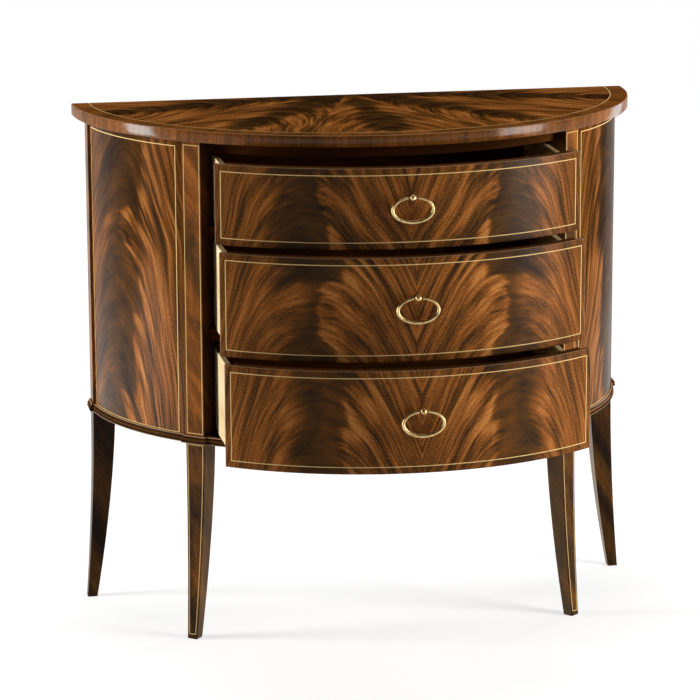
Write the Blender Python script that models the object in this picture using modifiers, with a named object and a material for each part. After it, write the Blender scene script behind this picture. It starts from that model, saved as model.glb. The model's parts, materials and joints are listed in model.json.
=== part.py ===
"""A demilune cabinet: a half-round case with three bowed drawers, on four sabre legs.

Units are metres. X runs to the right seen from the front, Y to the back and Z up. The cabinet
stands on z = 0, and its drawers are pulled out in steps. Plan places are counted from the middle
of the top's back edge, which the parent empty "cabinet" puts at its place.
"""

import math

import bmesh
import bpy
from mathutils import Matrix, Vector

# Sizes of the case
top_thickness = 0.0193
top_edge_round = 0.0016
overhang = 0.0225
case_half_width = 0.4577
case_depth = 0.4084
panel_thickness = 0.0150
back_inset = 0.0100
back_thickness = 0.0085
joint_gap = 0.0003
overrun = 0.0040

# The base: a thin bottom board, and the moulding that hides its edge
leg_height = 0.3335
base_thickness = 0.0120
moulding_height = 0.0132
moulding_depth = 0.0058
moulding_profile_shares = (
    (0.00, 0.00),
    (0.90, 0.00),
    (1.00, 0.08),
    (1.00, 0.24),
    (0.72, 0.30),
    (0.96, 0.42),
    (0.96, 0.56),
    (0.68, 0.68),
    (0.52, 0.84),
    (0.24, 1.00),
    (0.00, 1.00),
)

# Front posts, each one piece with its sabre leg, turned square to the bow
post_bearing = math.radians(43.5)
post_turn = math.radians(39.0)
post_width = 0.0354
post_depth = 0.0360
post_proud = 0.0045
post_edge_round = 0.0007
foot_width = 0.0180
foot_depth = 0.0180
foot_splay = 0.0186

# Rear posts, square to the wall
rear_post_width = 0.0380
rear_post_depth = 0.0380
rear_post_proud = 0.0015
rear_foot_width = 0.0170
rear_foot_depth = 0.0165
rear_foot_splay = 0.0165
splay_power = 1.85
taper_power = 1.38

# Rails, runners and partitions inside the case
rail_height = 0.0200
rail_depth = 0.0400
rail_clearance = 0.0008
top_rail_height = 0.0218
top_rail_show = 0.0172
runner_width = 0.0150
partition_thickness = 0.0120
drawer_play = 0.0014
running_gap = 0.0003

# Drawers
front_thickness = 0.0180
front_lip = 0.0070
front_play = 0.0030
front_edge_round = 0.0010
side_thickness = 0.0080
drawer_back_thickness = 0.0080
drawer_back_drop = 0.0040
drawer_rear_clearance = 0.0080
bottom_thickness = 0.0050
bottom_lift = 0.0080
groove_depth = 0.0040
tail_pitch = 0.0290
tail_width_share = 0.72
tail_slope_share = 0.16

# Each drawer from the base upwards: the gap below its front, the front's height, how far the sides
# stay above and below the front's edges, how far it is pulled out, and the pull's place
drawers = {
    "lower": {
        "gap": 0.0035,
        "front_height": 0.1671,
        "side_lift": 0.0015,
        "side_drop": 0.0271,
        "pull": 0.2018,
        "ring_drop": 0.0638,
    },
    "middle": {
        "gap": 0.0038,
        "front_height": 0.1682,
        "side_lift": 0.0051,
        "side_drop": 0.0184,
        "pull": 0.1594,
        "ring_drop": 0.0633,
    },
    "upper": {
        "gap": 0.0048,
        "front_height": 0.1303,
        "side_lift": 0.0051,
        "side_drop": 0.0115,
        "pull": 0.1176,
        "ring_drop": 0.0459,
    },
}

# Ring pulls
ball_radius = 0.0056
neck_radius = 0.0026
rose_radius = 0.0046
rose_thickness = 0.0020
stand_off = 0.0130
stem_radius = 0.0020
stem_end = 0.0060
stem_play = 0.0004
nut_radius = 0.0052
nut_thickness = 0.0032
pin_radius = 0.0011
pin_length = 0.0034
pin_play = 0.0004
ring_half_width = 0.0326
ring_half_height = 0.0198
ring_end_radius = 0.0021
ring_low_radius = 0.0032
ring_ball_gap = 0.0007

# Steps along the curves
bow_steps = 72
front_steps = 32
panel_steps = 16
leg_steps = 12
ring_steps = 28
ball_steps = 8
post_sides = 16
hole_sides = 16
bore_sides = 12
nut_sides = 6

# Places worked out from the sizes
base_top = leg_height + base_thickness
back_front = back_inset + back_thickness
rail_inset = front_thickness + rail_clearance
rear_post_front = back_inset + rear_post_depth
rear_post_outer = case_half_width + rear_post_proud
rear_post_inner = rear_post_outer - rear_post_width
whole_depth = case_depth + max(sizes["pull"] for sizes in drawers.values()) + stand_off + ball_radius


def stacked():
    """The levels of each drawer's front, sides and pull, and the level above the last front."""
    level = base_top
    levels = {}
    for name, sizes in drawers.items():
        low = level + sizes["gap"]
        high = low + sizes["front_height"]
        levels[name] = {
            "front": (low, high),
            "side": (low + sizes["side_lift"], high - sizes["side_drop"]),
            "ring": high - sizes["ring_drop"],
        }
        level = high
    return levels, level


levels, stack_top = stacked()
under_top = stack_top + top_rail_show
height = under_top + joint_gap + top_thickness

# Colours of the finishes: red, green, blue, roughness, metallic
finishes = {
    "flame_mahogany": (0.230, 0.088, 0.035, 0.28, 0.0),
    "cross_mahogany": (0.200, 0.072, 0.028, 0.28, 0.0),
    "drawer_maple": (0.760, 0.560, 0.330, 0.50, 0.0),
    "inner_wood": (0.230, 0.120, 0.060, 0.60, 0.0),
    "antique_brass": (0.680, 0.490, 0.230, 0.30, 1.0),
}


def clear_scene():
    """Starts from an empty scene."""
    for item in list(bpy.data.objects):
        bpy.data.objects.remove(item, do_unlink=True)


def make_finish(name):
    """A plain finish of one colour."""
    red, green, blue, roughness, metallic = finishes[name]
    finish = bpy.data.materials.new(name)
    finish.use_nodes = True
    shader = finish.node_tree.nodes["Principled BSDF"]
    shader.inputs["Base Color"].default_value = (red, green, blue, 1.0)
    shader.inputs["Roughness"].default_value = roughness
    shader.inputs["Metallic"].default_value = metallic
    finish.diffuse_color = (red, green, blue, 1.0)
    return finish


def add_piece(name, mesh, parent, finish):
    """A named piece of the cabinet, made from a mesh."""
    piece = bpy.data.objects.new(name, mesh)
    cabinet_parts.objects.link(piece)
    piece.parent = parent
    mesh.materials.append(materials[finish])
    return piece


def add_frame(name, parent, place):
    """An empty that carries the pieces of one body."""
    frame = bpy.data.objects.new(name, None)
    cabinet_parts.objects.link(frame)
    frame.parent = parent
    frame.location = place
    return frame


def soften(piece, width, segments=1):
    """Rounds the sharp arrises of a piece."""
    bevel = piece.modifiers.new("soft_arris", "BEVEL")
    bevel.width = width
    bevel.segments = segments
    bevel.limit_method = "ANGLE"
    bevel.angle_limit = math.radians(40)
    return piece


def carve(piece, cutter):
    """Cuts a hidden helper solid out of a piece."""
    cut = piece.modifiers.new(cutter.name, "BOOLEAN")
    cut.operation = "DIFFERENCE"
    cut.solver = "EXACT"
    cut.object = cutter
    return piece


def add_cutter(name, mesh, parent):
    """A hidden helper solid."""
    cutter = bpy.data.objects.new(name, mesh)
    cutters.objects.link(cutter)
    cutter.parent = parent
    cutter.hide_render = True
    cutter.display_type = "WIRE"
    return cutter


def box_mesh(name, low, high):
    """A box between two corners."""
    bm = bmesh.new()
    bmesh.ops.create_cube(bm, size=1.0)
    middle = (Vector(low) + Vector(high)) / 2
    size = Vector(high) - Vector(low)
    bmesh.ops.scale(bm, vec=size, verts=bm.verts)
    bmesh.ops.translate(bm, vec=middle, verts=bm.verts)
    mesh = bpy.data.meshes.new(name)
    bm.to_mesh(mesh)
    bm.free()
    return mesh


def sheet_mesh(name, outline, thickness, placing):
    """A flat outline given a thickness, then put in place by a matrix."""
    curve = bpy.data.curves.new(name, "CURVE")
    curve.dimensions = "2D"
    curve.fill_mode = "BOTH"
    curve.extrude = thickness / 2
    spline = curve.splines.new("POLY")
    spline.points.add(len(outline) - 1)
    for point, place in zip(spline.points, outline):
        point.co = (place[0], place[1], 0.0, 1.0)
    spline.use_cyclic_u = True
    drawn = bpy.data.objects.new(name + "_outline", curve)
    cutters.objects.link(drawn)
    bpy.context.view_layer.update()
    graph = bpy.context.evaluated_depsgraph_get()
    mesh = bpy.data.meshes.new_from_object(drawn.evaluated_get(graph))
    bpy.data.objects.remove(drawn)
    bpy.data.curves.remove(curve)
    mesh.name = name
    mesh.materials.clear()
    bm = bmesh.new()
    bm.from_mesh(mesh)
    bmesh.ops.remove_doubles(bm, verts=bm.verts, dist=joint_gap / 100)
    bmesh.ops.dissolve_limit(bm, angle_limit=math.radians(0.05), verts=bm.verts, edges=bm.edges)
    bmesh.ops.transform(bm, matrix=placing, verts=bm.verts)
    bmesh.ops.recalc_face_normals(bm, faces=bm.faces)
    bm.to_mesh(mesh)
    bm.free()
    return mesh


def slab_mesh(name, outline, bottom, top):
    """A level board with the given outline in plan."""
    placing = Matrix.Translation((0.0, 0.0, (bottom + top) / 2))
    return sheet_mesh(name, outline, top - bottom, placing)


def upright_mesh(name, outline, left, right):
    """An upright board whose outline is given as (y, z), between two places along X."""
    placing = Matrix(((0, 0, 1, (left + right) / 2), (1, 0, 0, 0), (0, 1, 0, 0), (0, 0, 0, 1)))
    return sheet_mesh(name, outline, right - left, placing)


def mirrored(points):
    """The same outline on the other side of the middle, in the reverse order."""
    return [Vector((-point.x, point.y)) for point in reversed(points)]


def both_halves(right_half):
    """A whole outline from its right half, which starts on the middle line."""
    return right_half + mirrored(right_half)[:-1]


def bow(bearing, inset=0.0):
    """Plan point of the half-round case, at a bearing from the front, inset square to the curve."""
    x = case_half_width * math.sin(bearing)
    y = -case_depth * math.cos(bearing)
    outward = Vector((x / case_half_width**2, y / case_depth**2)).normalized()
    return Vector((x, y)) - outward * inset


def arc(inset, start, end, steps):
    """Points along the bow from one bearing to another."""
    return [bow(start + (end - start) * step / steps, inset) for step in range(steps + 1)]


def crossing(inset, point, normal):
    """Bearing at which the inset bow crosses a plane that stands on the plan."""
    low, high = 0.0, math.pi / 2
    for _ in range(50):
        middle = (low + high) / 2
        if (bow(middle, inset) - point).dot(normal) < 0:
            low = middle
        else:
            high = middle
    return (low + high) / 2


def crossing_x(inset, x):
    """Bearing at which the inset bow is this far to the right."""
    return crossing(inset, Vector((x, 0.0)), Vector((1.0, 0.0)))


def crossing_y(inset, depth):
    """Bearing at which the inset bow is this far in front of the wall."""
    return crossing(inset, Vector((0.0, -depth)), Vector((0.0, 1.0)))


# The right front post in plan: the middle of its face, and the ways out and along the face
post_out = Vector((math.sin(post_turn), -math.cos(post_turn)))
post_along = Vector((math.cos(post_turn), math.sin(post_turn)))
post_face = bow(post_bearing, -post_proud)


def beside_post(sideways, inward, clearance=joint_gap):
    """Plan point by the right post: sideways -1 or 1 for its inner or outer side."""
    along = post_along * sideways * (post_width / 2 + clearance)
    return post_face + along - post_out * inward


guide_x = beside_post(-1, post_depth, 0.0).x


def build_top():
    """The half-round top, which stands out over the case by the same amount all round."""
    half = arc(-overhang, 0.0, math.pi / 2, bow_steps // 2)
    outline = both_halves(half)
    mesh = slab_mesh("top_board", outline, height - top_thickness, height)
    soften(add_piece("top_board", mesh, cabinet, "cross_mahogany"), top_edge_round, 2)


def build_leg(name, place, turn, section, foot, splay, anchor):
    """A square post that runs down into a leg, which tapers and sweeps outwards."""
    width, depth = section
    bm = bmesh.new()
    bmesh.ops.create_cube(bm, size=1.0)
    bmesh.ops.scale(bm, vec=(width, depth, under_top), verts=bm.verts)
    bmesh.ops.translate(bm, vec=(0.0, depth / 2, under_top / 2), verts=bm.verts)
    for step in range(1, leg_steps + 1):
        level = leg_height * step / leg_steps
        everything = bm.verts[:] + bm.edges[:] + bm.faces[:]
        bmesh.ops.bisect_plane(bm, geom=everything, plane_co=(0.0, 0.0, level), plane_no=(0, 0, 1))
    for corner in bm.verts:
        down = max(0.0, 1 - corner.co.z / leg_height)
        thinner = down**taper_power
        fixed = anchor * width / 2
        across = 1 - (1 - foot[0] / width) * thinner
        inward = 1 - (1 - foot[1] / depth) * thinner
        corner.co.x = fixed + (corner.co.x - fixed) * across
        corner.co.y = corner.co.y * inward - splay * down**splay_power
    mesh = bpy.data.meshes.new(name)
    bm.to_mesh(mesh)
    bm.free()
    leg = soften(add_piece(name, mesh, cabinet, "flame_mahogany"), post_edge_round)
    leg.location = (place.x, place.y, 0.0)
    leg.rotation_euler = (0.0, 0.0, turn)


def build_legs():
    """Two front legs that stand square to the bow, and two rear legs that stand square to the wall."""
    rear_middle = -(back_inset + rear_post_depth / 2)
    for name, side in (("left", -1), ("right", 1)):
        build_leg(
            name + "_front_leg",
            Vector((side * post_face.x, post_face.y)),
            side * post_turn,
            (post_width, post_depth),
            (foot_width, foot_depth),
            foot_splay,
            0,
        )
        build_leg(
            name + "_rear_leg",
            Vector((side * rear_post_outer, rear_middle)),
            side * math.pi / 2,
            (rear_post_depth, rear_post_width),
            (rear_foot_depth, rear_foot_width),
            rear_foot_splay,
            -side,
        )


def build_side_panels():
    """A curved panel on each side, between its front post and its rear post."""
    post_side = beside_post(1, 0.0)
    rear = rear_post_front + joint_gap
    outer = arc(0.0, crossing(0.0, post_side, post_along), crossing_y(0.0, rear), panel_steps)
    inner = arc(
        panel_thickness,
        crossing_y(panel_thickness, rear),
        crossing(panel_thickness, post_side, post_along),
        panel_steps,
    )
    right = outer + inner
    for name, outline in (("left", mirrored(right)), ("right", right)):
        mesh = slab_mesh(name + "_side_panel", outline, base_top + joint_gap, under_top)
        add_piece(name + "_side_panel", mesh, cabinet, "flame_mahogany")


def build_back_panel():
    """The plain panel that closes the back, let in between the rear posts."""
    reach = rear_post_inner - joint_gap
    low = (-reach, -back_front, leg_height)
    high = (reach, -back_inset, under_top)
    add_piece("back_panel", box_mesh("back_panel", low, high), cabinet, "inner_wood")


def build_bottom_board():
    """The board that floors the case, notched round all four posts."""
    rear = rear_post_front + joint_gap
    inner_side = beside_post(-1, 0.0)
    outer_side = beside_post(1, 0.0)
    notch_depth = post_depth + joint_gap
    half = arc(0.0, 0.0, crossing(0.0, inner_side, post_along), front_steps // 2)
    half += [beside_post(-1, notch_depth), beside_post(1, notch_depth)]
    half += arc(0.0, crossing(0.0, outer_side, post_along), crossing_y(0.0, rear), panel_steps)
    half += [
        Vector((rear_post_inner - joint_gap, -rear)),
        Vector((rear_post_inner - joint_gap, -back_front - joint_gap)),
    ]
    mesh = slab_mesh("bottom_board", both_halves(half), leg_height, base_top)
    add_piece("bottom_board", mesh, cabinet, "inner_wood")


def build_rail(name, bottom, top):
    """A bowed rail across the front, behind the drawer fronts, from post to post."""
    inner_side = beside_post(-1, 0.0)
    end_x = guide_x - joint_gap
    along_post = (inner_side.x - end_x) / post_out.x
    half = arc(rail_inset, 0.0, crossing(rail_inset, inner_side, post_along), front_steps // 2)
    half.append(inner_side - post_out * along_post)
    rear_inset = rail_inset + rail_depth
    half += arc(rear_inset, crossing_x(rear_inset, end_x), 0.0, front_steps // 2)
    outline = half + mirrored(half)[1:-1]
    add_piece(name, slab_mesh(name, outline, bottom, top), cabinet, "inner_wood")


def build_runners(name, bottom, top, front_inset):
    """A strip along each partition, which carries a drawer's side or keeps it from tipping."""
    outer = guide_x - joint_gap
    inner = outer - runner_width
    rear = -back_front - joint_gap
    right = [
        bow(crossing_x(front_inset, inner), front_inset),
        bow(crossing_x(front_inset, outer), front_inset),
        Vector((outer, rear)),
        Vector((inner, rear)),
    ]
    for side, outline in (("left", mirrored(right)), ("right", right)):
        mesh = slab_mesh(side + name, outline, bottom, top)
        add_piece(side + name, mesh, cabinet, "inner_wood")


def build_partitions():
    """An upright board behind each front post, which guides the drawers and carries the runners."""
    post_back = beside_post(-1, post_depth + joint_gap, 0.0)
    slope = post_along.y / post_along.x
    outer = guide_x + partition_thickness
    rear = -back_front - joint_gap
    right = [
        Vector((guide_x, post_back.y + (guide_x - post_back.x) * slope)),
        Vector((outer, post_back.y + (outer - post_back.x) * slope)),
        Vector((outer, rear)),
        Vector((guide_x, rear)),
    ]
    for side, outline in (("left", mirrored(right)), ("right", right)):
        mesh = slab_mesh(side + "_partition", outline, base_top + joint_gap, under_top)
        add_piece(side + "_partition", mesh, cabinet, "inner_wood")


def mitres(path):
    """The way out from each point of a path, longer at its corners, as a mitred moulding needs."""
    outs = []
    for here, there in zip(path, path[1:]):
        ahead = (there - here).normalized()
        outs.append(Vector((ahead.y, -ahead.x)))
    result = [outs[0]]
    for before, after in zip(outs, outs[1:]):
        result.append((before + after) / (1 + before.dot(after)))
    return result + [outs[-1]]


def moulding_mesh(name, path, outs):
    """The moulding's profile carried along a path, ring by ring."""
    bm = bmesh.new()
    rings = []
    for place, out in zip(path, outs):
        ring = []
        for stand, rise in moulding_profile_shares:
            at = place + out * stand * moulding_depth
            ring.append(bm.verts.new((at.x, at.y, leg_height + rise * moulding_height)))
        rings.append(ring)
    for ring, ahead in zip(rings, rings[1:]):
        for near, far, next_near, next_far in zip(
            ring, ahead, ring[1:] + ring[:1], ahead[1:] + ahead[:1]
        ):
            bm.faces.new((near, far, next_far, next_near))
    bm.faces.new(rings[0])
    bm.faces.new(rings[-1])
    bmesh.ops.recalc_face_normals(bm, faces=bm.faces)
    mesh = bpy.data.meshes.new(name)
    bm.to_mesh(mesh)
    bm.free()
    return mesh


def build_mouldings():
    """The base moulding, in lengths that are mitred where it breaks out round the posts."""
    inner_side = beside_post(-1, 0.0)
    outer_side = beside_post(1, 0.0)
    rear = rear_post_front + joint_gap
    front_end = crossing(-joint_gap, inner_side, post_along)
    side_start = crossing(-joint_gap, outer_side, post_along)
    side_end = crossing_y(-joint_gap, rear)
    front_run = arc(-joint_gap, 0.0, front_end, front_steps // 2)
    post_run = [beside_post(-1, -joint_gap), beside_post(1, -joint_gap)]
    side_run = arc(-joint_gap, side_start, side_end, panel_steps)
    rear_run = [
        Vector((rear_post_outer + joint_gap, -rear)),
        Vector((rear_post_outer + joint_gap, -back_inset)),
    ]
    path = front_run + post_run + side_run + rear_run
    outs = mitres(path)
    outs[0] = Vector((0.0, -1.0))
    corner = len(front_run) - 1
    turn_in = corner + 3
    turn_out = turn_in + panel_steps

    def length(first, last, start_shift, end_shift):
        """One length of the path, drawn in a little at its ends for the joint."""
        points = list(path[first : last + 1])
        ways = outs[first : last + 1]
        points[0] = points[0] + (points[1] - points[0]).normalized() * start_shift
        points[-1] = points[-1] + (points[-2] - points[-1]).normalized() * end_shift
        return points, ways

    front_points, front_ways = length(0, corner, 0.0, 0.0)
    whole = mirrored(front_points)[:-1] + front_points
    ways = mirrored(front_ways)[:-1] + front_ways
    mesh = moulding_mesh("front_moulding", whole, ways)
    add_piece("front_moulding", mesh, cabinet, "cross_mahogany")
    lengths = {
        "_post_moulding": length(corner, turn_in, joint_gap, joint_gap),
        "_side_moulding": length(turn_in, turn_out, 0.0, 0.0),
        "_rear_moulding": length(turn_out, len(path) - 1, joint_gap, 0.0),
    }
    for name, (points, ways) in lengths.items():
        mesh = moulding_mesh("right" + name, points, ways)
        add_piece("right" + name, mesh, cabinet, "cross_mahogany")
        mesh = moulding_mesh("left" + name, mirrored(points), mirrored(ways))
        add_piece("left" + name, mesh, cabinet, "cross_mahogany")


def tail_corners(shoulder, tip, low, high, grow=0.0):
    """Corners (y, z) of the dovetails on the end of a drawer side; grow widens them into sockets."""
    count = max(2, round((high - low) / tail_pitch))
    pitch = (high - low) / count
    wide = pitch * tail_width_share
    narrow = wide - 2 * abs(tip - shoulder) * tail_slope_share
    tails = []
    for index in range(count):
        middle = low + pitch * (index + 1 / 2)
        tails.append(
            [
                (shoulder, middle - narrow / 2 - grow),
                (tip, middle - wide / 2 - grow),
                (tip, middle + wide / 2 + grow),
                (shoulder, middle + narrow / 2 + grow),
            ]
        )
    return tails


def side_ends():
    """Where a drawer side starts and ends, and how its front end slants with the bow."""
    outer = guide_x - drawer_play
    inner = outer - side_thickness
    behind = front_thickness + joint_gap
    shoulder = bow(crossing_x(behind, inner), behind).y
    shoulder_outer = bow(crossing_x(behind, outer), behind).y
    tip = bow(crossing_x(front_lip + joint_gap, inner), front_lip + joint_gap).y
    return {
        "outer": outer,
        "inner": inner,
        "shoulder": shoulder,
        "slant": (shoulder_outer - shoulder) / side_thickness,
        "tip": tip,
        "rear": -(back_front + drawer_rear_clearance),
    }


def slanted(mesh, ends):
    """Slants the front end of a right-hand side so that it meets the bowed front."""
    middle = (ends["shoulder"] + ends["rear"]) / 2
    for corner in mesh.vertices:
        if corner.co.y < middle:
            corner.co.y += (corner.co.x - ends["inner"]) * ends["slant"]
    return mesh


def flipped(mesh, name):
    """The same mesh on the left-hand side."""
    bm = bmesh.new()
    bm.from_mesh(mesh)
    bmesh.ops.scale(bm, vec=(-1.0, 1.0, 1.0), verts=bm.verts)
    bmesh.ops.reverse_faces(bm, faces=bm.faces)
    copy = bpy.data.meshes.new(name)
    bm.to_mesh(copy)
    bm.free()
    return copy


def front_outline():
    """The bowed drawer front in plan, rebated at its ends behind a lip."""
    end_plane = beside_post(-1, 0.0, front_play)
    side_x = guide_x - drawer_play + joint_gap
    end = crossing(0.0, end_plane, post_along)
    half = arc(0.0, 0.0, end, front_steps // 2)
    half += arc(front_lip, end, crossing_x(front_lip, side_x), 3)
    half += arc(front_thickness, crossing_x(front_thickness, side_x), 0.0, front_steps // 2)
    return half + mirrored(half)[1:-1]


def build_drawer_front(name, frame, level, ends, pull_place):
    """The bowed front, with sockets for the sides, a groove for the bottom and the pull's hole."""
    low, high = level["front"]
    side_low, side_high = level["side"]
    mesh = slab_mesh(name + "_drawer_front", front_outline(), low, high)
    front = add_piece(name + "_drawer_front", mesh, frame, "flame_mahogany")
    soften(front, front_edge_round)
    tip = ends["tip"] - joint_gap
    sockets = tail_corners(ends["shoulder"], tip, side_low, side_high, joint_gap)
    for index, (root_low, tip_low, tip_high, root_high) in enumerate(sockets):
        mouth = ends["shoulder"] + overrun
        outline = [root_low, tip_low, tip_high, root_high]
        outline += [(mouth, root_high[1]), (mouth, root_low[1])]
        near = ends["inner"] - joint_gap
        label = f"{name}_socket_{index}"
        mesh = slanted(upright_mesh(label, outline, near, ends["outer"] + overrun), ends)
        carve(front, add_cutter(label + "_right", mesh, frame))
        carve(front, add_cutter(label + "_left", flipped(mesh, label), frame))
    floor = side_low + bottom_lift
    reach = ends["inner"] + groove_depth / 2
    deep = front_thickness - groove_depth
    shallow = front_thickness + overrun
    half = arc(deep, 0.0, crossing_x(deep, reach), front_steps // 2)
    half += arc(shallow, crossing_x(shallow, reach), 0.0, front_steps // 2)
    outline = half + mirrored(half)[1:-1]
    groove = slab_mesh(
        name + "_front_groove", outline, floor - joint_gap, floor + bottom_thickness + joint_gap
    )
    carve(front, add_cutter(name + "_front_groove", groove, frame))
    bm = bmesh.new()
    hole = stem_radius + stem_play
    bmesh.ops.create_cone(
        bm,
        cap_ends=True,
        segments=hole_sides,
        radius1=hole,
        radius2=hole,
        depth=2 * (stand_off + front_thickness + overrun),
        matrix=Matrix.Translation(pull_place) @ Matrix.Rotation(math.pi / 2, 4, "X"),
    )
    mesh = bpy.data.meshes.new(name + "_stem_hole")
    bm.to_mesh(mesh)
    bm.free()
    carve(front, add_cutter(name + "_stem_hole", mesh, frame))


def side_outline(level, ends):
    """A drawer side as (y, z): dovetails at the front, and at the back round the drawer's back."""
    low, high = level["side"]
    back_low = low + bottom_lift + bottom_thickness + joint_gap
    back_high = high - drawer_back_drop
    rear_shoulder = ends["rear"] - drawer_back_thickness - joint_gap
    outline = [(ends["shoulder"], low)]
    for tail in tail_corners(ends["shoulder"], ends["tip"], low, high):
        outline += tail
    outline += [(ends["shoulder"], high), (ends["rear"], high), (ends["rear"], back_high + joint_gap)]
    outline.append((rear_shoulder, back_high + joint_gap))
    for tail in reversed(tail_corners(rear_shoulder, ends["rear"], back_low, back_high)):
        outline += reversed(tail)
    outline += [(rear_shoulder, back_low - joint_gap), (ends["rear"], back_low - joint_gap)]
    outline.append((ends["rear"], low))
    return outline


def build_drawer_sides(name, frame, level, ends):
    """The thin light sides, dovetailed at both ends and grooved for the bottom."""
    floor = level["side"][0] + bottom_lift
    outline = side_outline(level, ends)
    mesh = slanted(upright_mesh(name + "_side", outline, ends["inner"], ends["outer"]), ends)
    groove_low = (ends["inner"] - overrun, ends["shoulder"], floor - joint_gap)
    groove_high = (
        ends["inner"] + groove_depth,
        ends["rear"] + overrun,
        floor + bottom_thickness + joint_gap,
    )
    groove = box_mesh(name + "_side_groove", groove_low, groove_high)
    for side, shape, cut in (
        ("_left_side", flipped(mesh, name + "_left_side"), flipped(groove, name + "_left_groove")),
        ("_right_side", mesh, groove),
    ):
        piece = add_piece(name + "_drawer" + side, shape, frame, "drawer_maple")
        carve(piece, add_cutter(name + side + "_groove", cut, frame))


def build_drawer_back(name, frame, level, ends):
    """The drawer's back, whose pins stand between the tails of the sides."""
    low, high = level["side"]
    back_low = low + bottom_lift + bottom_thickness + joint_gap
    back_high = high - drawer_back_drop
    inner_face = ends["rear"] - drawer_back_thickness
    corner_low = (-ends["outer"], inner_face, back_low)
    corner_high = (ends["outer"], ends["rear"], back_high)
    mesh = box_mesh(name + "_drawer_back", corner_low, corner_high)
    back = add_piece(name + "_drawer_back", mesh, frame, "inner_wood")
    shoulder = inner_face - joint_gap
    sockets = tail_corners(shoulder, ends["rear"], back_low, back_high, joint_gap)
    for index, (root_low, tip_low, tip_high, root_high) in enumerate(sockets):
        mouth = ends["rear"] + overrun
        flare = overrun * tail_slope_share
        outline = [root_low, (mouth, tip_low[1] - flare), (mouth, tip_high[1] + flare), root_high]
        near = ends["inner"] - joint_gap
        label = f"{name}_back_socket_{index}"
        mesh = upright_mesh(label, outline, near, ends["outer"] + overrun)
        carve(back, add_cutter(label + "_right", mesh, frame))
        carve(back, add_cutter(label + "_left", flipped(mesh, label), frame))


def build_drawer_bottom(name, frame, level, ends):
    """The thin bottom, held in the grooves of the front and the sides."""
    floor = level["side"][0] + bottom_lift
    inner = ends["inner"] - 2 * joint_gap
    outer = ends["inner"] + groove_depth - joint_gap
    inset = front_thickness - groove_depth + joint_gap
    behind = front_thickness + 2 * joint_gap
    half = arc(inset, 0.0, crossing_x(inset, inner), front_steps // 2)
    half.append(bow(crossing_x(behind, inner), behind))
    half.append(Vector((outer, ends["shoulder"] + groove_depth * ends["slant"])))
    half.append(Vector((outer, ends["rear"])))
    outline = both_halves(half)
    mesh = slab_mesh(name + "_drawer_bottom", outline, floor, floor + bottom_thickness)
    add_piece(name + "_drawer_bottom", mesh, frame, "drawer_maple")


def build_pull_post(name, frame, pull_place):
    """A turned brass post: a ball, a neck, a small rose, and a stem that runs through the front."""
    face = -stand_off + joint_gap
    inside = face - front_thickness - nut_thickness - stem_end
    slope = math.acos(neck_radius / ball_radius)
    profile = []
    for step in range(ball_steps + 1):
        tilt = math.pi / 2 - (math.pi / 2 + slope) * step / ball_steps
        profile.append((ball_radius * math.cos(tilt), ball_radius * math.sin(tilt)))
    profile[0] = (0.0, ball_radius)
    profile += [
        (neck_radius, face + rose_thickness),
        (rose_radius, face + rose_thickness / 2),
        (rose_radius, face),
        (stem_radius, face),
        (stem_radius, inside),
        (0.0, inside),
    ]
    mesh = bpy.data.meshes.new(name + "_pull_post")
    edges = [(index, index + 1) for index in range(len(profile) - 1)]
    mesh.from_pydata([(radius, 0.0, rise) for radius, rise in profile], edges, [])
    post = add_piece(name + "_pull_post", mesh, frame, "antique_brass")
    post.location = pull_place
    post.rotation_euler = (math.pi / 2, 0.0, 0.0)
    turn = post.modifiers.new("turned", "SCREW")
    turn.axis = "Z"
    turn.steps = post_sides
    turn.render_steps = post_sides
    turn.use_merge_vertices = True
    turn.merge_threshold = joint_gap / 10
    bm = bmesh.new()
    bore = pin_radius + pin_play
    bmesh.ops.create_cone(
        bm,
        cap_ends=True,
        segments=bore_sides,
        radius1=bore,
        radius2=bore,
        depth=2 * (ball_radius + overrun),
        matrix=Matrix.Translation(pull_place) @ Matrix.Rotation(math.pi / 2, 4, "Y"),
    )
    mesh = bpy.data.meshes.new(name + "_pin_bore")
    bm.to_mesh(mesh)
    bm.free()
    carve(post, add_cutter(name + "_pin_bore", mesh, frame))


def build_pull_nut(name, frame, pull_place):
    """The hexagonal nut that draws the post tight, inside the drawer."""
    bm = bmesh.new()
    bmesh.ops.create_cone(
        bm,
        cap_ends=True,
        segments=nut_sides,
        radius1=nut_radius,
        radius2=nut_radius,
        depth=nut_thickness,
    )
    mesh = bpy.data.meshes.new(name + "_pull_nut")
    bm.to_mesh(mesh)
    bm.clear()
    hole = stem_radius + joint_gap
    bmesh.ops.create_cone(
        bm,
        cap_ends=True,
        segments=hole_sides,
        radius1=hole,
        radius2=hole,
        depth=3 * nut_thickness,
    )
    bore_mesh = bpy.data.meshes.new(name + "_nut_bore")
    bm.to_mesh(bore_mesh)
    bm.free()
    nut = add_piece(name + "_pull_nut", mesh, frame, "antique_brass")
    bore = add_cutter(name + "_nut_bore", bore_mesh, frame)
    for item in (nut, bore):
        inside = stand_off + front_thickness + joint_gap + nut_thickness / 2
        item.location = (pull_place.x, pull_place.y + inside, pull_place.z)
        item.rotation_euler = (math.pi / 2, 0.0, 0.0)
    carve(nut, bore)


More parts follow.
